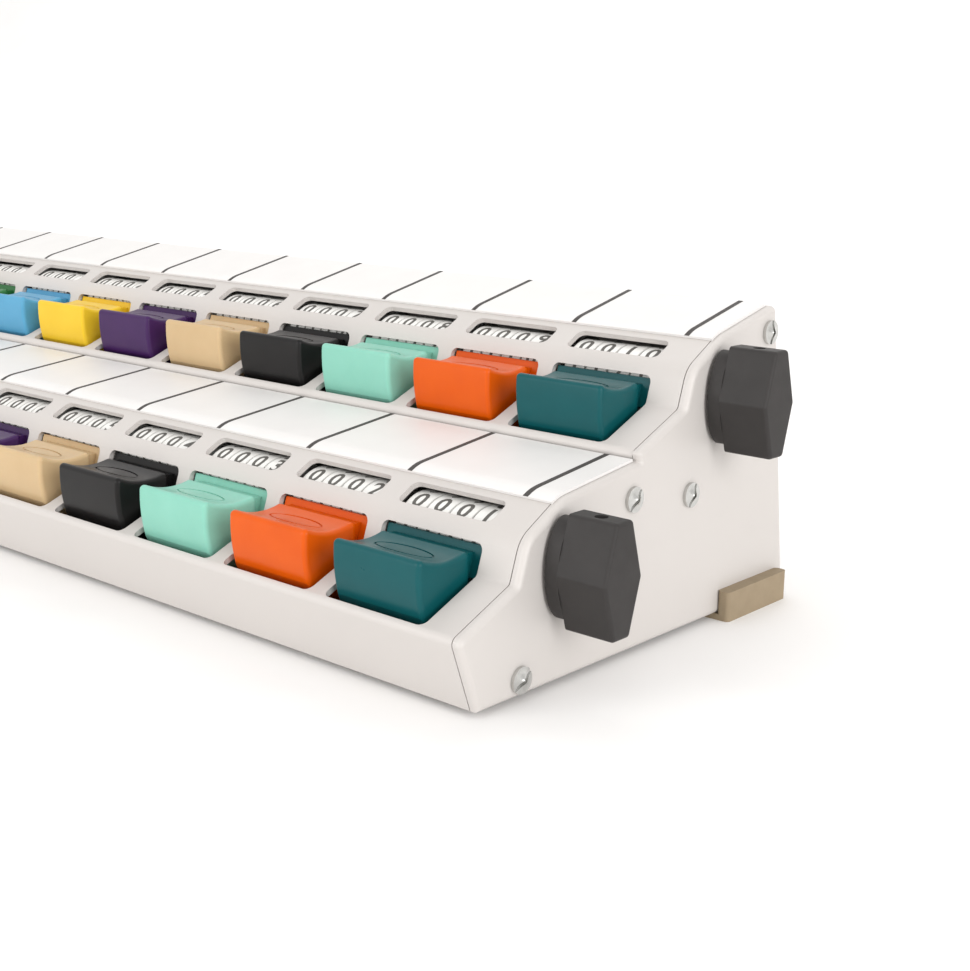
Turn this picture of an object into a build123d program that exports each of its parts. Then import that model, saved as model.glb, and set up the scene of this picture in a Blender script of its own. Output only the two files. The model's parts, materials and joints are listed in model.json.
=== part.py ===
from build123d import *
import math
import os

# Two-tier bench tally counter: a bank of keyed four-figure counters in a folded sheet casing.
# Outline points are bench values: Y runs back and Z up from the end panel's front bottom corner.
# The part stands on its feet at Z = 0 and its box is centred on X = 0, Y = 0.

# Bank
channels = 10
pitch = 30.0
end_margin = 8.0
tier_run = 51.5
tier_rise = 25.6

# Sheet and panels
sheet = 1.2
panel = 2.0
panel_round = 1.2
seam = 0.25
seat_gap = 0.05
foot_height = 1.3
foot_wrap = 3.0

# Casing outline: lip, corner, shoulder and crest repeat on each tier
lip = (-5.4, 14.3)
corner = (10.0, 21.0)
shoulder = (12.6, 29.0)
crest = (23.0, 34.9)
front_back = (46.6, 38.1)
rear_back = (95.3, 65.8)
rear_bottom = (104.8, 0.0)
lip_round = 1.5
corner_round = 1.2
shoulder_round = 6.0
crest_round = 9.0
back_round = 1.5
hem_drop = 1.6
back_fold = 4.0
rear_hem = 10.5
tray_flange = 6.0
tray_round = 2.0
wall_overlap = 1.8
panel_step_rounds = [0.2, 0.6]
least_round = 0.3

# Label strips
strip_overhang = 1.0
strip_lead = 2.0
strip_rise = 0.6
strip_back_front = 0.5
strip_back_rear = 1.8

# Feet
foot_front = 76.7
foot_back = 101.0
foot_flange = 5.3
foot_under = 14.0
foot_round = 1.0
pad_at = 14.0
pad_radius = 6.0
pad_inset = 20.0

# Counters
drum_width = 5.3
drum_step = 5.9
drums = 4
window_margin = 0.6
window_width = drums * drum_step + window_margin
window_low = 14.4
window_high = 19.7
window_round = 1.6
axle = (21.5, 22.6)
axle_radius = 2.0
axle_chamfer = 0.3
running_gap = 0.05
drum_gap = 0.35
drum_rim = 1.0
drum_recess = 1.2
ratchet_teeth = 10
ratchet_inset = 2.0
ratchet_side = 0.2
pinion_angle = math.radians(-8.2)
pinion_gap = 0.2
pinion_radius = 2.6
pinion_width = 3.0
pinion_teeth = 8
pinion_shaft_radius = 1.0
bush_wall = 2.0
bush_collar = 3.0
bush_collar_width = 1.0

# Keys
key_space = 7.4
key_width = pitch - key_space
key_front = -3.2
key_rear = 10.2
key_top_front = 26.6
key_top_rear = 25.6
key_wall = 1.8
key_foot = 11.5
key_scoop = 1.5
key_undercut = 0.9
key_round = 1.0
key_toe = -1.0
mark_share = 0.33
mark_half_depth = 2.3
mark_line = 0.45
mark_back = 0.8
mark_depth = 0.75
hole_side = 1.7
hole_width = key_width + 2 * hole_side
hole_front = key_front - 0.9
hole_top = key_top_rear + 1.1
hole_reach = 4.5
hole_round = 1.6
flange_side = 0.6
flange_low = 20.0
flange_top = hole_top - 0.8
flange_recess = 1.1
flange_thick = 0.6
pivot = (37.5, 17.0)
pivot_radius = 1.5
eye_radius = 3.2
arm_width = 2.0
arm_offset = 7.0
web_at = (24.0, 9.9)
web_depth = 3.0
web_height = 1.4
spring_gap = 0.3
spring_wire = 0.8
spring_turns = 7
spring_play = 0.1
leg_offset = 1.5
leg_drop = 3.4
leg_short = 2.0

# Frame plates, tie bars and screws
plate = 1.2
plate_front = 16.2
plate_rear = 40.5
plate_profile = [(plate_front, 25.0), (19.0, 28.2), (28.0, 31.0), (plate_rear, 24.0)]
bar_radius = 2.2
bars = [(11.0, 3.4), (44.2, 31.2), (64.2, 28.7), (92.5, 59.9)]
screw_radius = 1.25
screw_head_radius = 2.6
screw_head_height = 1.7
screw_head_edge = 0.7
screw_head_dome = 1.2
screw_length = 9.0
slot_width = 0.8
slot_depth = 1.2
slot_angles = [35, 50, 65, 85]

# Knobs
knob_foot = 0.8
knob_skirt = 3.9
knob_end = 14.8
knob_half_length = 11.0
knob_half_width = 5.7
knob_half_tip = 2.5
knob_side_round = 0.9
knob_end_round = 0.8
knob_cover = 3.0
skirt_half_length = 9.8
skirt_half_width = 5.2
grub_radius = 1.3
grub_depth = 2.5

length = channels * pitch + 2 * end_margin
box_length = length + foot_wrap + knob_end
x_right = box_length / 2 - knob_end
x_left = x_right - length
skirt_angle = math.atan2(-lip[1], -lip[0])
bed_angle = math.atan2(corner[1] - lip[1], corner[0] - lip[0])
lip_half = (bed_angle - skirt_angle) / 2
lip_reach = lip[0] + lip_round * (math.cos((skirt_angle + bed_angle) / 2) / math.sin(lip_half) - 1)
y_middle = (lip_reach + rear_bottom[0]) / 2
inner_length = length - 2 * panel - 2 * seam
bar_length = length - 2 * panel - 2 * seat_gap
x_middle = (x_right + x_left) / 2
face_angle = math.atan2(crest[1] - shoulder[1], crest[0] - shoulder[0])
face_depth = (
    (axle[0] - shoulder[0]) * math.sin(face_angle) - (axle[1] - shoulder[1]) * math.cos(face_angle)
)
drum_radius = face_depth - sheet - drum_gap
pinion_reach = drum_radius + pinion_radius + pinion_gap
pinion_at = (
    axle[0] + pinion_reach * math.cos(pinion_angle),
    axle[1] + pinion_reach * math.sin(pinion_angle),
)
tiers = {"front": 0, "rear": 1}
centres = [x_right - end_margin - pitch * (i + 0.5) for i in range(channels)]
boundaries = [x_right - end_margin - pitch * i for i in range(channels + 1)]


def place(point, tier=0):
    """Bench point of a tier in the part's frame."""
    return (point[0] + tier * tier_run - y_middle, point[1] + tier * tier_rise + foot_height)


def riser_y(z):
    """Bench Y of the riser's outer face at a height."""
    return corner[0] + (z - corner[1]) * (shoulder[0] - corner[0]) / (shoulder[1] - corner[1])


def inset(points, distance):
    """Open outline moved inwards, to the right of its direction, with mitred corners."""
    moved = []
    count = len(points)
    for i in range(count):
        sides = []
        for a, b in ((i - 1, i), (i, i + 1)):
            if a >= 0 and b < count:
                dy = points[b][0] - points[a][0]
                dz = points[b][1] - points[a][1]
                size = math.hypot(dy, dz)
                sides.append((dz / size, -dy / size))
        ny = sum(s[0] for s in sides) / len(sides)
        nz = sum(s[1] for s in sides) / len(sides)
        scale = distance / (ny * ny + nz * nz)
        moved.append((points[i][0] + ny * scale, points[i][1] + nz * scale))
    return moved


def along(a, b, distance):
    """Point at a distance from a towards b."""
    size = math.dist(a, b)
    return (a[0] + (b[0] - a[0]) * distance / size, a[1] + (b[1] - a[1]) * distance / size)


def turn_side(a, b, c):
    """1 where the outline bends to the right at b, so its inside radius is the smaller one."""
    cross = (b[0] - a[0]) * (c[1] - b[1]) - (b[1] - a[1]) * (c[0] - b[0])
    return 1 if cross < 0 else -1


def save(piece, name):
    """Label a finished piece and write its file."""
    piece.part.label = name
    export_step(piece.part, f"parts/{name}.step")


def casing_outline():
    """Outer line of the casing from the front bottom to the rear bottom, with its radii."""
    front = [place(p) for p in (lip, corner, shoulder, crest, front_back)]
    rear = [place(p, 1) for p in (lip, corner, shoulder, crest)]
    points = [place((0, 0))] + front + rear + [place(rear_back), place(rear_bottom)]
    tier_radii = [lip_round, corner_round, shoulder_round, crest_round]
    radii = tier_radii + panel_step_rounds + tier_radii[1:] + [back_round]
    return points, radii


# ---- Casing ----


def panel_face(points, radii):
    """Flat section of an end panel, closed along its bottom edge."""
    with BuildLine() as outline:
        line = FilletPolyline(*points, radius=radii)
        Line(line @ 1, line @ 0)
    make_face(outline.edges())


def end_panel(name, x, outward):
    """Cast end panel with its outer edge rounded all along the outline."""
    points, radii = casing_outline()
    with BuildPart() as piece:
        with BuildSketch(Plane.YZ.offset(x)):
            panel_face(points, radii)
        extrude(amount=panel * outward)
        outer = piece.faces().sort_by(Axis.X)[-1 if outward > 0 else 0]
        fillet(outer.edges(), radius=panel_round)
        with BuildSketch(Plane.YZ.offset(x)):
            with Locations(*[place(b) for b in bars]):
                Circle(screw_radius + running_gap)
        extrude(amount=panel * outward, mode=Mode.SUBTRACT)
        if outward > 0:
            with BuildSketch(Plane.YZ.offset(x)):
                with Locations(*[place(axle, t) for t in tiers.values()]):
                    Circle(axle_radius + bush_wall)
            extrude(amount=panel, mode=Mode.SUBTRACT)
    save(piece, name)


def cut_key_holes(tier):
    """Rounded holes that span the bed and run on up the riser."""
    front, low = place((hole_front, lip[1] - sheet), tier)
    rear, high = place((corner[0] + hole_reach, hole_top), tier)
    depth = rear - front
    for x in centres:
        with BuildSketch(Plane.XY.offset(low)) as bed:
            with Locations((x, front + depth / 2)):
                RectangleRounded(hole_width, depth, hole_round)
        extrude(bed.sketch, amount=(high - low) / 2, mode=Mode.SUBTRACT)
        with BuildSketch(Plane.XZ.offset(-rear)) as riser:
            with Locations((x, (low + high) / 2)):
                RectangleRounded(hole_width, high - low, hole_round)
        extrude(riser.sketch, amount=depth - 2 * hole_round, mode=Mode.SUBTRACT)


def cut_windows(tier):
    """Rounded windows, square to the sloping face between shoulder and crest."""
    a = place(shoulder, tier)
    b = place(crest, tier)
    slope = (b[1] - a[1]) / (b[0] - a[0])
    y = (window_low + window_high) / 2 - shoulder[0] + a[0]
    z = a[1] + (y - a[0]) * slope
    height = (window_high - window_low) * math.hypot(1, slope)
    normal = Vector(0, -slope, 1).normalized()
    for x in centres:
        face = Plane(origin=(x, y, z), x_dir=(1, 0, 0), z_dir=normal)
        with BuildSketch(face) as window:
            RectangleRounded(window_width, height, window_round)
        extrude(window.sketch, amount=3 * sheet, both=True, mode=Mode.SUBTRACT)


def cover(name, outline, radii, tier):
    """Folded sheet cover of one tier."""
    with BuildPart() as piece:
        with BuildSketch(Plane.YZ.offset(x_middle - inner_length / 2)):
            with BuildLine():
                outer_line = FilletPolyline(*outline, radius=radii)
                inner = inset(outline, sheet)
                inner_line = FilletPolyline(*inner, radius=inner_radii(outline, radii, sheet))
                Line(outer_line @ 0, inner_line @ 0)
                Line(outer_line @ 1, inner_line @ 1)
            make_face()
        extrude(amount=inner_length)
        cut_key_holes(tier)
        cut_windows(tier)
    save(piece, name)


def inner_radii(outline, radii, thickness):
    """Radii of the inside line of a folded sheet."""
    found = []
    for i, radius in enumerate(radii):
        side = turn_side(outline[i], outline[i + 1], outline[i + 2])
        found.append(max(radius - side * thickness, least_round))
    return found


def front_cover():
    points = [place(p) for p in ((0, 0), lip, corner, shoulder, crest, front_back)]
    points.append(place((front_back[0] + 0.5, front_back[1] - back_fold)))
    radii = [lip_round, corner_round, shoulder_round, crest_round, back_round]
    cover("front_cover", points, radii, 0)


def rear_cover():
    lip_end = place(lip, 1)
    hem = along(lip_end, place((0, 0), 1), hem_drop)
    points = [hem, lip_end] + [place(p, 1) for p in (corner, shoulder, crest)]
    points.append(place(rear_back))
    points.append(along(place(rear_back), place(rear_bottom), rear_hem))
    radii = [lip_round, corner_round, shoulder_round, crest_round, back_round]
    cover("rear_cover", points, radii, 1)


def tray_outline():
    """Outer line of the base tray, nested inside the front skirt and the rear hem."""
    step = sheet + seat_gap
    skirt = inset([place((0, 0)), place(lip)], step)
    rear = inset([place(rear_back), place(rear_bottom)], step)
    floor = foot_height
    front_y = skirt[0][0] + (skirt[1][0] - skirt[0][0]) * (floor - skirt[0][1]) / (skirt[1][1] - skirt[0][1])
    rear_y = rear[1][0] + (rear[0][0] - rear[1][0]) * (floor - rear[1][1]) / (rear[0][1] - rear[1][1])
    front_foot = (front_y, floor)
    rear_foot = (rear_y, floor)
    wall_height = math.dist(place(rear_back), place(rear_bottom)) - rear_hem + wall_overlap
    front_top = along(front_foot, skirt[1], tray_flange)
    rear_top = along(rear_foot, rear[0], wall_height)
    return [rear_top, rear_foot, front_foot, front_top]


def base_tray():
    outline = tray_outline()
    with BuildPart() as piece:
        with BuildSketch(Plane.YZ.offset(x_middle - inner_length / 2)):
            with BuildLine():
                outer_line = FilletPolyline(*outline, radius=tray_round)
                inner_line = FilletPolyline(*inset(outline, sheet), radius=tray_round - sheet)
                Line(outer_line @ 0, inner_line @ 0)
                Line(outer_line @ 1, inner_line @ 1)
            make_face()
        extrude(amount=inner_length)
    save(piece, "base_tray")


def label_section(end, tier, back):
    """Section of a write-on strip that starts before the crest and lies back over the flat top."""
    start = place(along(crest, shoulder, strip_lead), tier)
    bend = place(crest, tier)
    stop = along(place(end), bend, back)
    with BuildLine() as outline:
        low = FilletPolyline(*inset([start, bend, stop], -seat_gap), radius=crest_round + seat_gap)
        high = FilletPolyline(*inset([start, bend, stop], -strip_rise), radius=crest_round + strip_rise)
        Line(low @ 0, high @ 0)
        Line(low @ 1, high @ 1)
    make_face(outline.edges())


def label_strips():
    """White strips on both tiers, stepping a little over the end panels."""
    strip_length = inner_length + strip_overhang
    with BuildPart() as piece:
        for end, tier, back in ((front_back, 0, strip_back_front), (rear_back, 1, strip_back_rear)):
            with BuildSketch(Plane.YZ.offset(x_middle - strip_length / 2)):
                label_section(end, tier, back)
            extrude(amount=strip_length)
    save(piece, "label_strips")


def feet():
    """Two rubber corner feet wrapped round the rear ends and two pads under the front."""
    depth = foot_back - foot_front
    middle = place(((foot_front + foot_back) / 2, 0))[0]
    height = foot_height + foot_flange
    with BuildPart() as piece:
        for x, outward in ((x_right, 1), (x_left, -1)):
            with Locations((x + outward * foot_wrap / 2, middle, height / 2)):
                Box(foot_wrap, depth, height)
            with Locations((x - outward * foot_under / 2, middle, foot_height / 2)):
                Box(foot_under, depth, foot_height)
            with Locations((x - outward * pad_inset, place((pad_at, 0))[0], foot_height / 2)):
                Cylinder(pad_radius, foot_height)
        sides = piece.edges().filter_by(Axis.Z)
        fillet(sides.filter_by(lambda e: e.length > foot_height + 1), radius=foot_round)
    save(piece, "feet")


def tie_bars():
    """Round bars between the end panels, tapped at both ends."""
    with BuildPart() as piece:
        for bar in bars:
            with BuildSketch(Plane.YZ.offset(x_middle - bar_length / 2)):
                with Locations(place(bar)):
                    Circle(bar_radius)
                    Circle(screw_radius + running_gap, mode=Mode.SUBTRACT)
            extrude(amount=bar_length)
    save(piece, "tie_bars")


def screw_section(side):
    """Half section of a raised-head screw, its axis along the plane's X."""
    edge = seat_gap + screw_head_edge
    crown = seat_gap + screw_head_height
    with BuildSketch(side) as section:
        with BuildLine():
            Polyline(
                (crown, 0), (-screw_length, 0), (-screw_length, screw_radius),
                (seat_gap, screw_radius), (seat_gap, screw_head_radius), (edge, screw_head_radius),
            )
            RadiusArc((edge, screw_head_radius), (crown, 0), -screw_head_radius - screw_head_dome)
        make_face()
    return section.sketch


def side_screws():
    """Slotted raised-head screws through both end panels into the tie bars."""
    crown = seat_gap + screw_head_height
    with BuildPart() as piece:
        for x, outward in ((x_right, 1), (x_left, -1)):
            for bar, angle in zip(bars, slot_angles):
                y, z = place(bar)
                side = Plane(origin=(x, y, z), x_dir=(outward, 0, 0), z_dir=(0, 1, 0))
                revolve(screw_section(side), axis=Axis((x, y, z), (1, 0, 0)))
                face = Plane(origin=(x, y, z), x_dir=(0, 1, 0), z_dir=(outward, 0, 0))
                with BuildSketch(face.offset(crown)) as slot:
                    with Locations(Location((0, 0), angle)):
                        Rectangle(3 * screw_head_radius, slot_width)
                extrude(slot.sketch, amount=-slot_depth, mode=Mode.SUBTRACT)
    save(piece, "side_screws")


# ---- Mechanism ----


def bearing_plates():
    """Plates at the channel boundaries that carry axles, pinion shafts and key pivots."""
    floor = place((0, sheet))[1]
    with BuildPart() as piece:
        for tier in tiers.values():
            top = [place(p, tier) for p in plate_profile]
            for x in boundaries:
                with BuildSketch(Plane.YZ.offset(x - plate / 2)):
                    with BuildLine():
                        Polyline((top[0][0], floor), *top, (top[-1][0], floor), close=True)
                    make_face()
                    with Locations(place(axle, tier)):
                        Circle(axle_radius + running_gap, mode=Mode.SUBTRACT)
                    with Locations(place(pinion_at, tier)):
                        Circle(pinion_shaft_radius, mode=Mode.SUBTRACT)
                    with Locations(place(pivot, tier)):
                        Circle(pivot_radius, mode=Mode.SUBTRACT)
                extrude(amount=plate)
    save(piece, "bearing_plates")


def mechanism_rods():
    """Key pivot rods and pinion shafts, from the first bearing plate to the last."""
    with BuildPart() as piece:
        for tier in tiers.values():
            for point, radius in ((pivot, pivot_radius), (pinion_at, pinion_shaft_radius)):
                with BuildSketch(Plane.YZ.offset(boundaries[-1] - plate)):
                    with Locations(place(point, tier)):
                        Circle(radius)
                extrude(amount=channels * pitch + 2 * plate)
    save(piece, "mechanism_rods")


def reset_shaft(name, tier):
    """Drum axle, carried on through the right end panel to the knob."""
    x_start = boundaries[-1] - plate
    x_stop = x_right + knob_end - knob_cover
    with BuildPart() as piece:
        with BuildSketch(Plane.YZ.offset(x_start)):
            with Locations(place(axle, tier)):
                Circle(axle_radius)
        extrude(amount=x_stop - x_start)
        chamfer(piece.edges().filter_by(GeomType.CIRCLE), length=axle_chamfer)
    save(piece, name)


def add_drum(x, tier, width, radius, teeth=False):
    """Add a drum or ratchet disc on the axle, with its bore."""
    with BuildSketch(Plane.YZ.offset(x - width / 2)) as section:
        with Locations(place(axle, tier)):
            if teeth:
                RegularPolygon(radius, ratchet_teeth)
            else:
                Circle(radius)
            Circle(axle_radius + running_gap, mode=Mode.SUBTRACT)
    extrude(section.sketch, amount=width)


def drum_x(centre, place_value):
    """Middle of a figure drum: units stand at the right, then tens and so on."""
    return centre + (drums - 1) / 2 * drum_step - place_value * drum_step


def units_wheel(name, centre, tier):
    """Units drum, recessed on both sides round a ratchet web."""
    x = drum_x(centre, 0)
    with BuildPart() as piece:
        add_drum(x, tier, drum_width, drum_radius)
        for side in (1, -1):
            with BuildSketch(Plane.YZ.offset(x + side * drum_width / 2)):
                with Locations(place(axle, tier)):
                    Circle(drum_radius - drum_rim)
                    Circle(axle_radius + drum_rim, mode=Mode.SUBTRACT)
            extrude(amount=-side * drum_recess, mode=Mode.SUBTRACT)
        add_drum(x, tier, drum_width - 2 * ratchet_side, drum_radius - ratchet_inset, teeth=True)
    save(piece, name)


def carry_wheels(name, tier):
    """Tens, hundreds and thousands drums of a whole tier."""
    with BuildPart() as piece:
        for centre in centres:
            for place_value in range(1, drums):
                add_drum(drum_x(centre, place_value), tier, drum_width, drum_radius)
    save(piece, name)


def transfer_pinions():
    """Carry pinions between neighbouring drums, on the pinion shafts."""
    with BuildPart() as piece:
        for tier in tiers.values():
            for centre in centres:
                for place_value in range(1, drums):
                    x = drum_x(centre, place_value) + drum_step / 2
                    with BuildSketch(Plane.YZ.offset(x - pinion_width / 2)):
                        with Locations(place(pinion_at, tier)):
                            RegularPolygon(pinion_radius, pinion_teeth)
                            Circle(pinion_shaft_radius + running_gap, mode=Mode.SUBTRACT)
                    extrude(amount=pinion_width)
    save(piece, "transfer_pinions")


def shaft_bushes():
    """Collared bushes for the reset shafts in the right end panel."""
    with BuildPart() as piece:
        for tier in tiers.values():
            for wall, width in ((bush_wall, panel), (bush_collar, -bush_collar_width)):
                with BuildSketch(Plane.YZ.offset(x_right - panel)):
                    with Locations(place(axle, tier)):
                        Circle(axle_radius + wall)
                        Circle(axle_radius + running_gap, mode=Mode.SUBTRACT)
                extrude(amount=width)
    save(piece, "shaft_bushes")


# ---- Keys ----


def key_cap_face(tier):
    """Side section of a key cap: scooped top, front face undercut towards the bed, toe set back below it."""
    bed_slope = (corner[1] - lip[1]) / (corner[0] - lip[0])
    bed_front = lip[1] + (key_front - lip[0]) * bed_slope
    brow = place((key_front, key_top_front), tier)
    heel = place((key_rear, key_top_rear), tier)
    scoop = place(((key_front + key_rear) / 2, (key_top_front + key_top_rear) / 2 - key_scoop), tier)
    belly = place((key_front - 0.15, (key_top_front + bed_front) / 2 + 1.5), tier)
    chin = place((key_front + key_undercut, bed_front), tier)
    rest = [(key_toe, bed_front - 2.0), (key_toe, key_foot), (6.0, key_foot), (key_rear, key_foot + 3.0)]
    with BuildLine() as outline:
        ThreePointArc(brow, scoop, heel)
        ThreePointArc(brow, belly, chin)
        Polyline(chin, *[place(p, tier) for p in rest], heel)
    return make_face(outline.edges(), mode=Mode.PRIVATE)


def key_block(points, centre, width, tier, mode=Mode.ADD):
    """Add or cut a block across the key: a side outline with a width about the centre."""
    with BuildSketch(Plane.YZ.offset(centre - width / 2)) as section:
        with BuildLine() as outline:
            Polyline(*[place(p, tier) for p in points], close=True)
        make_face(outline.edges())
    extrude(section.sketch, amount=width, mode=mode)


def key_mark(centre, tier):
    """Fine oval groove in the scooped top."""
    half = key_width * mark_share
    y = place(((key_front + key_rear) / 2 + mark_back, 0), tier)[0]
    with BuildSketch(Plane.XY.offset(place((0, key_top_front), tier)[1])) as mark:
        with Locations((centre, y)):
            Ellipse(half, mark_half_depth)
            Ellipse(half - mark_line, mark_half_depth - mark_line, mode=Mode.SUBTRACT)
    extrude(mark.sketch, amount=-(key_scoop + mark_depth), mode=Mode.SUBTRACT)


def key_flange(centre, tier):
    """Flange that fills the hole behind the cap, parallel to the riser, on a neck from the cap's back."""
    front_low = (riser_y(flange_low) + flange_recess, flange_low)
    front_top = (riser_y(flange_top) + flange_recess, flange_top)
    rear_low = (front_low[0] + flange_thick, flange_low)
    rear_top = (front_top[0] + flange_thick, flange_top)
    key_block([front_low, front_top, rear_top, rear_low], centre, hole_width - 2 * flange_side, tier)
    top = key_top_rear - key_round
    middle = flange_recess + flange_thick / 2
    start = key_rear - key_wall / 2
    neck = [
        (start, key_foot + key_wall), (start, top),
        (riser_y(top) + middle, top), (riser_y(flange_low) + middle, flange_low),
    ]
    key_block(neck, centre, key_width - 2 * key_round, tier)


def key_arms(centre, tier):
    """Two arms that reach under the drums to the pivot rod, the right one with the pawl finger."""
    arm = [(2.0, key_foot + 3), (2.0, key_foot - 2.5), (20.0, 8.4), (31.0, 10.5), (38.5, 14.0)]
    arm += [(36.0, pivot[1] + 1.5), (31.0, 15.2), (20.0, 13.0), (key_rear, key_foot + 4.5)]
    pawl = [(11.3, 9.5), (12.8, 9.5), (12.8, 19.0), (12.0, 20.2), (11.3, 19.0)]
    for sign in (1, -1):
        middle = centre + sign * arm_offset
        key_block(arm, middle, arm_width, tier)
        if sign > 0:
            key_block(pawl, middle, arm_width, tier)
        for radius, mode in ((eye_radius, Mode.ADD), (pivot_radius + running_gap, Mode.SUBTRACT)):
            with BuildSketch(Plane.YZ.offset(middle - arm_width / 2)) as eye:
                with Locations(place(pivot, tier)):
                    Circle(radius)
            extrude(eye.sketch, amount=arm_width, mode=mode)


def key(name, centre, tier):
    """Moulded key: a hollow scooped cap with a rear flange, two arms and a web for the spring."""
    bed = place((0, lip[1] + 2.0), tier)[1]
    roof = key_top_front - key_scoop - 1.7 * key_wall
    inside = [
        (key_front + 2 * key_wall, roof), (key_rear - key_wall, roof),
        (key_rear - key_wall, key_foot - 1.0), (key_front + 2 * key_wall, key_foot - 1.0),
    ]
    y, z = place(web_at, tier)
    with BuildPart() as piece:
        with BuildSketch(Plane.YZ.offset(centre - key_width / 2)):
            add(key_cap_face(tier))
        extrude(amount=key_width)
        rim = piece.edges().filter_by(lambda e: e.center().Z > bed)
        fillet(rim, radius=key_round)
        key_mark(centre, tier)
        key_block(inside, centre, key_width - 2 * key_wall, tier, Mode.SUBTRACT)
        key_flange(centre, tier)
        key_arms(centre, tier)
        with Locations((centre, y, z)):
            Box(2 * arm_offset, web_depth, web_height)
    save(piece, name)


def key_springs():
    """Torsion springs on the pivot rods: a close coil, a leg under the key's web and a leg to the tie bar."""
    coil_inner = pivot_radius + spring_play
    coil_length = spring_turns * spring_wire
    reach = coil_inner + spring_wire / 2
    with BuildPart() as piece:
        for tier in tiers.values():
            rod = place(pivot, tier)
            bar = place(bars[2 * tier + 1])
            web = place(web_at, tier)
            web_end = (web[0] - leg_short, web[1] - leg_drop)
            bar_end = along(rod, bar, math.dist(rod, bar) - bar_radius - spring_gap)
            for centre in centres:
                with BuildSketch(Plane.YZ.offset(centre - coil_length / 2)):
                    with Locations(rod):
                        Circle(coil_inner + spring_wire)
                        Circle(coil_inner, mode=Mode.SUBTRACT)
                extrude(amount=coil_length)
                leg(centre - leg_offset, (rod[0], rod[1] - reach), web_end, spring_wire / 2)
                leg(centre + leg_offset, along(rod, bar, reach), bar_end, spring_wire / 2)
    save(piece, "key_springs")


def leg(x, start, stop, radius):
    """Straight wire leg between two points of one cross-section."""
    direction = (0, stop[0] - start[0], stop[1] - start[1])
    with BuildSketch(Plane(origin=(x, start[0], start[1]), x_dir=(1, 0, 0), z_dir=direction)) as section:
        Circle(radius)
    extrude(section.sketch, amount=math.dist(start, stop))


# ---- Knobs ----


def reset_knob(name, tier):
    """Bar knob: an elongated six-sided grip on an oval foot, with a grub screw hole in its upper end."""
    y, z = place(axle, tier)
    half = [
        (knob_half_tip, knob_half_length),
        (knob_half_width, 0),
        (knob_half_tip, -knob_half_length),
    ]
    outline = half + [(-a, -b) for a, b in half]
    with BuildPart() as piece:
        with BuildSketch(Plane.YZ.offset(x_right + knob_skirt)):
            with BuildLine():
                Polyline(*[(y + a, z + b) for a, b in outline], close=True)
            make_face()
        extrude(amount=knob_end - knob_skirt)
        fillet(piece.edges().filter_by(Axis.X), radius=knob_side_round)
        outer = piece.faces().sort_by(Axis.X)[-1]
        fillet(outer.edges(), radius=knob_end_round)
        with BuildSketch(Plane.YZ.offset(x_right + knob_foot)):
            with Locations((y, z)):
                Ellipse(skirt_half_width, skirt_half_length)
        extrude(amount=knob_skirt - knob_foot)
        with BuildSketch(Plane.YZ.offset(x_right + knob_foot)):
            with Locations((y, z)):
                Circle(axle_radius)
        extrude(amount=knob_end - knob_cover - knob_foot, mode=Mode.SUBTRACT)
        grub_x = x_right + (knob_skirt + knob_end) / 2
        with BuildSketch(Plane.XY.offset(z + knob_half_length)):
            with Locations((grub_x, y)):
                Circle(grub_radius)
        extrude(amount=-grub_depth, mode=Mode.SUBTRACT)
    save(piece, name)


os.makedirs("parts", exist_ok=True)
end_panel("end_panel_right", x_right - panel, 1)
end_panel("end_panel_left", x_left + panel, -1)
front_cover()
rear_cover()
base_tray()
label_strips()
feet()
tie_bars()
side_screws()
bearing_plates()
mechanism_rods()
transfer_pinions()
shaft_bushes()
key_springs()
for row, tier in tiers.items():
    reset_shaft(f"reset_shaft_{row}", tier)
    reset_knob(f"reset_knob_{row}", tier)
    carry_wheels(f"carry_wheels_{row}", tier)
    for number, centre in enumerate(centres, start=1):
        key(f"key_{row}_{number:02d}", centre, tier)
        units_wheel(f"units_wheel_{row}_{number:02d}", centre, tier)
print("length", length, "box", box_length, "x_right", x_right, "y_middle", y_middle)
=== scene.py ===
import json
import math

import bmesh
import bpy
from mathutils import Matrix, Vector


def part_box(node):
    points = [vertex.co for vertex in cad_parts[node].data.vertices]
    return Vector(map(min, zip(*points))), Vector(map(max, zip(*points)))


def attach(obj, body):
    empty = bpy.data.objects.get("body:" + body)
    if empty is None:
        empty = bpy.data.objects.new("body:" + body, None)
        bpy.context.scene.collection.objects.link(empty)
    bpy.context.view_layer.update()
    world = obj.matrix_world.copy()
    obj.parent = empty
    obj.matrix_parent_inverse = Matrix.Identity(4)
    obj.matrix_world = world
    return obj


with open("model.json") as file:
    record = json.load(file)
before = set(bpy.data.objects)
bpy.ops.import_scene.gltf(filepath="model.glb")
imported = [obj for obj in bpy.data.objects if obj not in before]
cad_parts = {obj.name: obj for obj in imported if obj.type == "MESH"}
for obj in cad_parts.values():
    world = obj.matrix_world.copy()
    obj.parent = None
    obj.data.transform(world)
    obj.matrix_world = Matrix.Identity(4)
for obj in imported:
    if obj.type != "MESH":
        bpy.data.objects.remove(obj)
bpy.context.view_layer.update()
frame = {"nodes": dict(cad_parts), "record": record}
NODES = frame["nodes"]

# Sizes are in metres. Those that a CAD piece sets are read from the frame.
MM = 0.001
ROWS = ("front", "rear")
CHANNELS = 10
NUMBERS = range(1, CHANNELS + 1)
FIRST_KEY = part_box("key_front_01")
PITCH = (FIRST_KEY[0].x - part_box("key_front_10")[0].x) / (CHANNELS - 1)
PANEL_LOW, PANEL_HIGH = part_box("end_panel_right")

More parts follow.
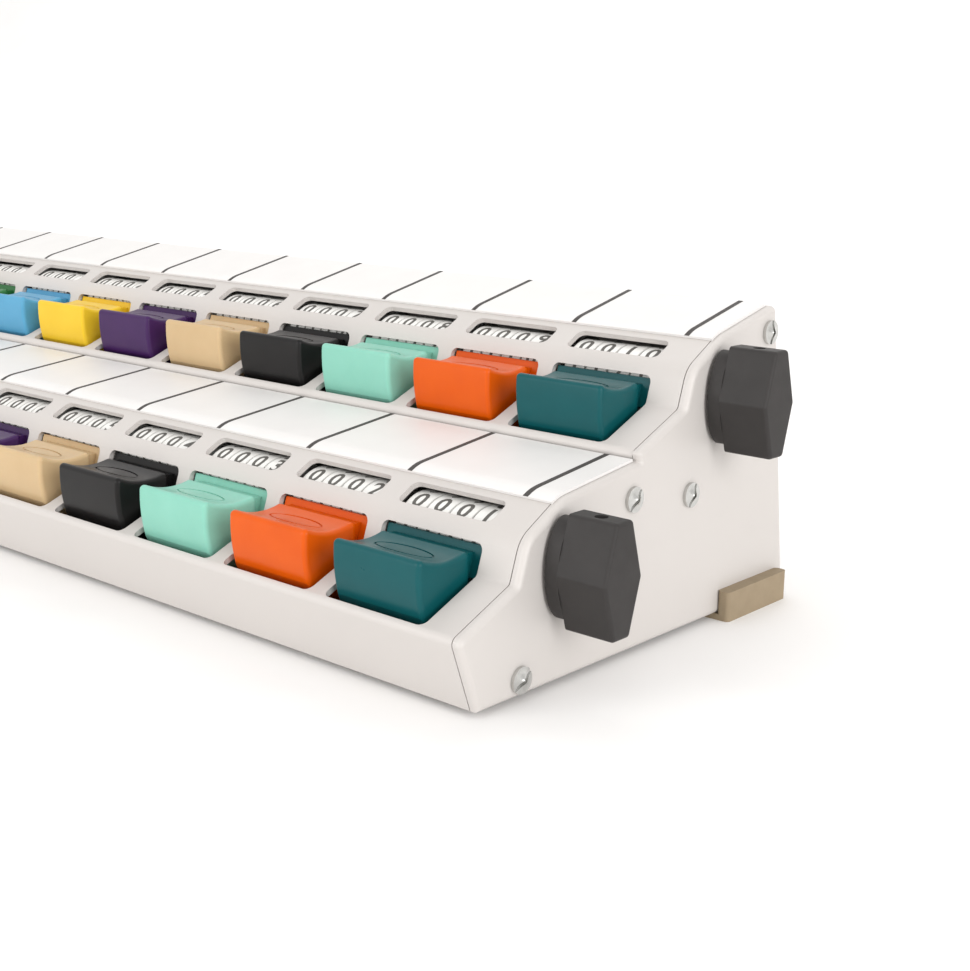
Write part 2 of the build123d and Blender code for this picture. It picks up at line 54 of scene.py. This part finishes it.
# Drums of a channel, side by side behind its window
DRUMS = 4
DRUM_STEP = 5.9 * MM
WHEEL_LOW, WHEEL_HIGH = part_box("units_wheel_front_01")
DRUM_RADIUS = (WHEEL_HIGH.z - WHEEL_LOW.z) / 2
WINDOW_SLOPE = math.radians(29.54)
WINDOW_NORMAL = Vector((0.0, -math.sin(WINDOW_SLOPE), math.cos(WINDOW_SLOPE)))
WINDOW_UP = Vector((0.0, math.cos(WINDOW_SLOPE), math.sin(WINDOW_SLOPE)))

# Figures printed round each drum. The one shown sits a little above the window's normal.
FIGURES_ON_DRUM = 10
FIGURE_STEP = math.radians(360.0 / FIGURES_ON_DRUM)
FIGURE_HEIGHT = 4.5 * MM
FIGURE_WEIGHT = 0.02
FIGURE_SLICES = 8
READING_TILT = math.radians(4.0)
INK_LIFT = 0.03 * MM
INK_THICK = 0.04 * MM

# Bars printed across the label strips
BAR_HALF_WIDTH = 0.6 * MM
BAR_THICK = 0.06 * MM
STRIP_END = 0.1 * MM

# Places of the sockets of a colour mix node, whose names repeat
MIX_FACTOR, MIX_DARK, MIX_LIGHT = 0, 6, 7
MIX_COLOUR = 2


def add_to_scene(piece):
    bpy.context.scene.collection.objects.link(piece)


# ---- Materials ----


def linear(hex_colour):
    """sRGB hex colour as linear RGBA."""
    parts = [int(hex_colour[i : i + 2], 16) / 255 for i in (1, 3, 5)]
    return tuple(c / 12.92 if c <= 0.04045 else ((c + 0.055) / 1.055) ** 2.4 for c in parts) + (1.0,)


def node(tree, kind, settings=None, links=None):
    """Add a shader node, set its properties and input values, and link its inputs."""
    made = tree.nodes.new(kind)
    for key, value in (settings or {}).items():
        if key in made.inputs:
            made.inputs[key].default_value = value
        else:
            setattr(made, key, value)
    for key, source in (links or {}).items():
        tree.links.new(source, made.inputs[key])
    return made


def start_material(name, shader):
    """A material with an empty tree, its shader with plain values, and object-space coordinates."""
    material = bpy.data.materials.new(name)
    material.use_nodes = True
    tree = material.node_tree
    tree.nodes.clear()
    surface = node(tree, "ShaderNodeBsdfPrincipled", shader)
    node(tree, "ShaderNodeOutputMaterial", None, {"Surface": surface.outputs[0]})
    place = node(tree, "ShaderNodeTexCoord").outputs["Object"]
    return material, tree, surface, place


def grain_scale(size_mm):
    """Noise scale whose grains are this many millimetres across."""
    return 1.0 / (size_mm * MM)


def mottle(tree, place, surface, dark, light, size_mm):
    """Two close tones wandering over the surface."""
    noise = node(
        tree, "ShaderNodeTexNoise", {"Scale": grain_scale(size_mm), "Detail": 4.0}, {"Vector": place}
    )
    tones = node(tree, "ShaderNodeMix", {"data_type": "RGBA"})
    tones.inputs[MIX_DARK].default_value = linear(dark)
    tones.inputs[MIX_LIGHT].default_value = linear(light)
    tree.links.new(noise.outputs[0], tones.inputs[MIX_FACTOR])
    tree.links.new(tones.outputs[MIX_COLOUR], surface.inputs["Base Color"])


def rough_range(tree, place, surface, low, high, size_mm):
    """Roughness that varies between two values, as handling leaves it."""
    noise = node(
        tree, "ShaderNodeTexNoise", {"Scale": grain_scale(size_mm), "Detail": 3.0}, {"Vector": place}
    )
    spread = node(
        tree, "ShaderNodeMapRange", {"To Min": low, "To Max": high}, {"Value": noise.outputs[0]}
    )
    tree.links.new(spread.outputs[0], surface.inputs["Roughness"])


def texture_bump(tree, place, surface, size_mm, height_mm, strength):
    """Fine relief of a real grain size."""
    noise = node(
        tree, "ShaderNodeTexNoise", {"Scale": grain_scale(size_mm), "Detail": 2.0}, {"Vector": place}
    )
    bump = node(
        tree,
        "ShaderNodeBump",
        {"Strength": strength, "Distance": height_mm * MM},
        {"Height": noise.outputs[0]},
    )
    tree.links.new(bump.outputs[0], surface.inputs["Normal"])


def casing_enamel():
    """Stoved satin enamel on steel: warm light grey with a faint orange peel."""
    made, tree, surface, place = start_material("casing_enamel", {"IOR": 1.5, "Specular IOR Level": 0.45})
    mottle(tree, place, surface, "#C4BFBB", "#CBC6C2", size_mm=35.0)
    rough_range(tree, place, surface, low=0.34, high=0.46, size_mm=18.0)
    texture_bump(tree, place, surface, size_mm=1.1, height_mm=0.05, strength=0.25)
    return made


def label_card():
    """White write-on plastic laminate: smooth, nearly matt, faint fibre underneath."""
    made, tree, surface, place = start_material("label_laminate", {"IOR": 1.48})
    mottle(tree, place, surface, "#DFDDDB", "#E6E4E2", size_mm=9.0)
    rough_range(tree, place, surface, low=0.38, high=0.52, size_mm=12.0)
    texture_bump(tree, place, surface, size_mm=0.5, height_mm=0.02, strength=0.2)
    return made


def moulded_key(name, dark, light):
    """Injection-moulded ABS: even colour, soft gloss, a trace of light under the skin."""
    skin = {"Subsurface Weight": 0.04, "Subsurface Scale": 1.0 * MM}
    made, tree, surface, place = start_material(name, {"IOR": 1.53, "Specular IOR Level": 0.2} | skin)
    mottle(tree, place, surface, dark, light, size_mm=7.0)
    rough_range(tree, place, surface, low=0.24, high=0.38, size_mm=5.0)
    texture_bump(tree, place, surface, size_mm=0.35, height_mm=0.015, strength=0.25)
    return made


def knob_plastic():
    """Moulded phenolic: near black, with a matt spark-eroded skin."""
    made, tree, surface, place = start_material("knob_phenolic", {"IOR": 1.55, "Specular IOR Level": 0.25})
    mottle(tree, place, surface, "#2C2A29", "#363332", size_mm=5.0)
    rough_range(tree, place, surface, low=0.48, high=0.62, size_mm=4.0)
    texture_bump(tree, place, surface, size_mm=0.4, height_mm=0.03, strength=0.45)
    return made


def foot_rubber():
    """Moulded khaki rubber, matt and slightly dusty."""
    made, tree, surface, place = start_material("foot_rubber", {"IOR": 1.52})
    mottle(tree, place, surface, "#8E7E66", "#9C8B72", size_mm=3.0)
    rough_range(tree, place, surface, low=0.72, high=0.88, size_mm=4.0)
    texture_bump(tree, place, surface, size_mm=0.6, height_mm=0.06, strength=0.5)
    return made


def metal(name, dark, light, low, high, size_mm):
    """Metal with the tone and polish given, its fine wear drawn as coarse as it can show."""
    made, tree, surface, place = start_material(name, {"Metallic": 1.0})
    mottle(tree, place, surface, dark, light, size_mm)
    rough_range(tree, place, surface, low, high, size_mm)
    texture_bump(tree, place, surface, size_mm / 4, height_mm=0.01, strength=0.2)
    return made


def drum_plastic():
    """White moulded acetal, faintly waxy."""
    made, tree, surface, place = start_material("drum_acetal", {"IOR": 1.48})
    mottle(tree, place, surface, "#E6E5E1", "#EFEEEB", size_mm=2.5)
    rough_range(tree, place, surface, low=0.34, high=0.5, size_mm=2.0)
    texture_bump(tree, place, surface, size_mm=0.3, height_mm=0.015, strength=0.2)
    return made


def printed_ink(name, dark, light):
    """Printed ink: dull, a little uneven in density."""
    made, tree, surface, place = start_material(name, {"IOR": 1.45})
    mottle(tree, place, surface, dark, light, size_mm=0.6)
    rough_range(tree, place, surface, low=0.55, high=0.75, size_mm=1.0)
    return made


def natural_nylon():
    """Unfilled nylon: creamy, slightly translucent."""
    made, tree, surface, place = start_material("nylon", {"IOR": 1.53, "Subsurface Weight": 0.1})
    mottle(tree, place, surface, "#D8D3C2", "#E2DDCD", size_mm=2.0)
    rough_range(tree, place, surface, low=0.35, high=0.5, size_mm=2.0)
    return made


KEY_TONES = {
    "teal": ("#084B4F", "#0C5559"),
    "orange": ("#CC4E00", "#D95A04"),
    "mint": ("#7DBBA8", "#8BC7B5"),
    "black": ("#131212", "#1C1A1A"),
    "cream": ("#BFA37B", "#CBB088"),
    "purple": ("#371A4B", "#432257"),
    "yellow": ("#DDB422", "#E8C232"),
    "sky_blue": ("#4C93B8", "#5AA0C4"),
    "green": ("#2B6B38", "#347842"),
    "red": ("#A81F1E", "#B62A27"),
}

FINISHES = {
    "casing_paint": casing_enamel(),
    "label_strip": label_card(),
    "foot_rubber": foot_rubber(),
    # Polished nickel plate: pale and warm, with small sharp highlights
    "plated_screw": metal("nickel_plate", "#B9B9B6", "#DADAD8", 0.12, 0.24, 1.2),
    # Cold-drawn steel: mid grey, a dull shine
    "bright_steel": metal("drawn_steel", "#8E8F90", "#B0B0B0", 0.25, 0.4, 2.0),
    # Dull zinc plate: greenish grey, blurred highlights
    "zinc_plate": metal("zinc_plate", "#8C8C86", "#A9A9A2", 0.4, 0.6, 4.0),
    "nylon": natural_nylon(),
    # Sintered bronze: brown and porous, hardly shiny
    "bronze": metal("sintered_bronze", "#8A6238", "#A0774A", 0.4, 0.55, 0.8),
    # Oiled spring wire: dark grey, soft shine
    "spring_wire": metal("spring_wire", "#5E5F60", "#7C7D7E", 0.3, 0.45, 0.8),
    "knob_plastic": knob_plastic(),
    "drum_plastic": drum_plastic(),
}
for tone, (dark, light) in KEY_TONES.items():
    FINISHES["key_" + tone] = moulded_key("key_abs_" + tone, dark, light)

INK = printed_ink("figure_ink", "#55534F", "#676561")
BAR_INK = printed_ink("divider_ink", "#3A3735", "#484442")


def finish_cad_nodes():
    """Give every CAD node the finish of its record slot."""
    for entry in frame["record"]["subparts"]:
        mesh = NODES[entry["node"]].data
        mesh.materials.clear()
        mesh.materials.append(FINISHES[entry["material_slot"]])


# ---- Figures on the drums ----


def figure_mesh(figure):
    """Points and faces of a flat figure, sliced finely so that it can lie on a drum."""
    curve = bpy.data.curves.new("figure", "FONT")
    curve.body = str(figure)
    curve.align_x = "CENTER"
    curve.size = 1.0
    curve.resolution_u = 3
    curve.offset = FIGURE_WEIGHT
    holder = bpy.data.objects.new("figure", curve)
    add_to_scene(holder)
    bpy.context.view_layer.update()
    flat = bpy.data.meshes.new_from_object(holder.evaluated_get(bpy.context.evaluated_depsgraph_get()))
    bpy.data.objects.remove(holder)
    bm = bmesh.new()
    bm.from_mesh(flat)
    low = min(v.co.y for v in bm.verts)
    high = max(v.co.y for v in bm.verts)
    scale = FIGURE_HEIGHT / (high - low)
    for v in bm.verts:
        v.co = Vector((v.co.x * scale, (v.co.y - (low + high) / 2) * scale, 0.0))
    for i in range(1, FIGURE_SLICES):
        cut = (i / FIGURE_SLICES - 0.5) * FIGURE_HEIGHT
        everything = bm.verts[:] + bm.edges[:] + bm.faces[:]
        bmesh.ops.bisect_plane(bm, geom=everything, plane_co=(0, cut, 0), plane_no=(0, 1, 0))
    bmesh.ops.triangulate(bm, faces=bm.faces[:])
    points = [v.co.copy() for v in bm.verts]
    faces = [[v.index for v in face.verts] for face in bm.faces]
    bm.free()
    return points, faces


def wrap_figures(entries, name):
    """One mesh of figures lying on drums: entries are (drum centre, figure shown at rest)."""
    all_points = []
    all_faces = []
    half = FIGURES_ON_DRUM // 2
    for centre, shown in entries:
        for figure in range(FIGURES_ON_DRUM):
            points, faces = FIGURES[figure]
            steps = (figure - shown + half) % FIGURES_ON_DRUM - half
            base = len(all_points)
            for p in points:
                angle = READING_TILT - steps * FIGURE_STEP + p.y / DRUM_RADIUS
                out = WINDOW_NORMAL * math.cos(angle) + WINDOW_UP * math.sin(angle)
                all_points.append(centre + Vector((p.x, 0, 0)) + out * (DRUM_RADIUS + INK_LIFT))
            all_faces.extend([[i + base for i in face] for face in faces])
    mesh = bpy.data.meshes.new(name)
    mesh.from_pydata(all_points, [], all_faces)
    mesh.materials.append(INK)
    piece = bpy.data.objects.new(name, mesh)
    add_to_scene(piece)
    thick = piece.modifiers.new("thickness", "SOLIDIFY")
    thick.thickness = INK_THICK
    return piece


def reading(row, number):
    """Count shown by a channel: the rear tier counts down from ten, the front tier counts up from one."""
    return CHANNELS + 1 - number if row == "rear" else number


def drum_centres(row, number):
    """Middles of the drums of a channel, units first."""
    low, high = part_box(f"units_wheel_{row}_{number:02d}")
    units = (low + high) / 2
    return [units - Vector((DRUM_STEP * i, 0, 0)) for i in range(DRUMS)]


def add_figures():
    """Figures of every drum, riding on the drum's own body."""
    for row in ROWS:
        carried = []
        for number in NUMBERS:
            count = reading(row, number)
            centres = drum_centres(row, number)
            digits = [count // 10**i % 10 for i in range(DRUMS)]
            units = wrap_figures([(centres[0], digits[0])], f"units_figures_{row}_{number:02d}")
            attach(units, f"units_wheel_{row}_{number:02d}")
            carried.extend(zip(centres[1:], digits[1:]))
        figures = wrap_figures(carried, f"carry_figures_{row}")
        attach(figures, f"reset_{row}")


# ---- Divider bars ----


def turns_up(a, b, c):
    """True where b lies on or under the line from a to c."""
    return (b[0] - a[0]) * (c[1] - a[1]) - (b[1] - a[1]) * (c[0] - a[0]) >= 0


def strip_tops():
    """Top line of each label strip, front to back, from the section at its left end."""
    co = [v.co for v in NODES["label_strips"].data.vertices]
    left = min(c.x for c in co)
    section = sorted({(round(c.y, 6), round(c.z, 6)) for c in co if c.x < left + STRIP_END})
    gaps = [(section[i + 1][0] - section[i][0], i) for i in range(len(section) - 1)]
    split = max(gaps)[1] + 1
    tops = []
    for part in (section[:split], section[split:]):
        hull = []
        for p in part:
            while len(hull) > 1 and turns_up(hull[-2], hull[-1], p):
                hull.pop()
            hull.append(p)
        tops.append(hull)
    return tops


def lay_bar(bm, x, line):
    """Thin closed bar, centred at x, that follows a strip's top line."""
    left, right = x - BAR_HALF_WIDTH, x + BAR_HALF_WIDTH
    rings = []
    for y, z in line:
        ring = [(left, z), (right, z), (right, z + BAR_THICK), (left, z + BAR_THICK)]
        rings.append([bm.verts.new((a, y, b)) for a, b in ring])
    for a, b in zip(rings[:-1], rings[1:]):
        for k in range(4):
            bm.faces.new((a[k], a[(k + 1) % 4], b[(k + 1) % 4], b[k]))
    bm.faces.new(rings[0])
    bm.faces.new(rings[-1][::-1])


def add_divider_bars():
    """Dark bars across the label strips at the channel boundaries."""
    x_first = (FIRST_KEY[0].x + FIRST_KEY[1].x) / 2 + PITCH / 2
    for row, line in zip(ROWS, strip_tops()):
        bm = bmesh.new()
        for i in range(CHANNELS + 1):
            lay_bar(bm, x_first - PITCH * i, line)
        bmesh.ops.recalc_face_normals(bm, faces=bm.faces[:])
        mesh = bpy.data.meshes.new(f"divider_bars_{row}")
        bm.to_mesh(mesh)
        bm.free()
        mesh.materials.append(BAR_INK)
        bars = bpy.data.objects.new(f"divider_bars_{row}", mesh)
        add_to_scene(bars)
        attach(bars, "casing")


# ---- Stage ----


def add_sweep():
    """Pale floor that curves up into the background."""
    half, front, back, rise, radius = 2.5, -1.6, 1.6, 2.2, 0.9
    arc_steps = 16
    line = [(front, 0.0), (back - radius, 0.0)]
    for i in range(1, arc_steps + 1):
        a = math.pi / 2 * i / arc_steps
        line.append((back - radius + radius * math.sin(a), radius - radius * math.cos(a)))
    line.append((back, rise))
    points = [(x, y, z) for y, z in line for x in (-half, half)]
    faces = [(2 * i, 2 * i + 1, 2 * i + 3, 2 * i + 2) for i in range(len(line) - 1)]
    mesh = bpy.data.meshes.new("sweep")
    mesh.from_pydata(points, [], faces)
    for face in mesh.polygons:
        face.use_smooth = True
    # Matt paper: near white and hardly reflective
    paper, tree, surface, place = start_material("studio_paper", {"Specular IOR Level": 0.1})
    mottle(tree, place, surface, "#F3F2F1", "#F8F7F6", size_mm=60.0)
    rough_range(tree, place, surface, low=0.85, high=0.95, size_mm=30.0)
    mesh.materials.append(paper)
    sweep = bpy.data.objects.new("sweep", mesh)
    add_to_scene(sweep)


def add_lamp(name, place, target, size, power):
    """White square softbox aimed at a point."""
    light = bpy.data.lights.new(name, "AREA")
    light.size = size
    light.energy = power
    lamp = bpy.data.objects.new(name, light)
    lamp.location = place
    lamp.rotation_euler = (Vector(target) - Vector(place)).to_track_quat("-Z", "Y").to_euler()
    add_to_scene(lamp)


def add_world(strength):
    """Even, slightly warm light from all round."""
    world = bpy.data.worlds.new("studio")
    world.use_nodes = True
    background = world.node_tree.nodes["Background"]
    background.inputs["Color"].default_value = linear("#FBFAF9")
    background.inputs["Strength"].default_value = strength
    bpy.context.scene.world = world


def add_camera():
    """Camera off the lower front corner of the right end panel, looking back along the tiers."""
    yaw, pitch, roll = math.radians(39.45), math.radians(11.3), math.radians(-1.37)
    offset = Vector((158.5, -174.4, 98.2)) * MM
    forward = Vector((-math.sin(yaw) * math.cos(pitch), math.cos(yaw) * math.cos(pitch), -math.sin(pitch)))
    right = Vector((math.cos(yaw), math.sin(yaw), 0.0))
    down = forward.cross(right)
    side = right * math.cos(roll) + down * math.sin(roll)
    lower = down * math.cos(roll) - right * math.sin(roll)
    turn = Matrix((side, -lower, -forward)).transposed()
    lens = bpy.data.cameras.new("camera")
    lens.lens = 53.55
    lens.sensor_width = 36.0
    lens.shift_x = -0.05
    lens.shift_y = -0.0526
    lens.clip_start = 0.01
    camera = bpy.data.objects.new("camera", lens)
    corner = Vector((PANEL_HIGH.x, PANEL_LOW.y, PANEL_LOW.z))
    camera.matrix_world = Matrix.Translation(corner + offset) @ turn.to_4x4()
    add_to_scene(camera)
    bpy.context.scene.camera = camera


FIGURES = [figure_mesh(figure) for figure in range(FIGURES_ON_DRUM)]
finish_cad_nodes()
add_figures()
add_divider_bars()
add_sweep()
add_world(strength=0.95)
add_lamp("front_light", place=(-0.35, -1.3, 0.35), target=(0.0, 0.0, 0.03), size=0.8, power=7.5)
add_lamp("right_light", place=(1.35, -0.35, 0.4), target=(0.1, 0.0, 0.03), size=0.7, power=8.5)
add_lamp("backdrop_light", place=(-0.6, 0.7, 1.7), target=(-1.2, 1.6, 0.7), size=1.0, power=14.0)
add_camera()
bpy.context.scene.view_settings.view_transform = "Standard"
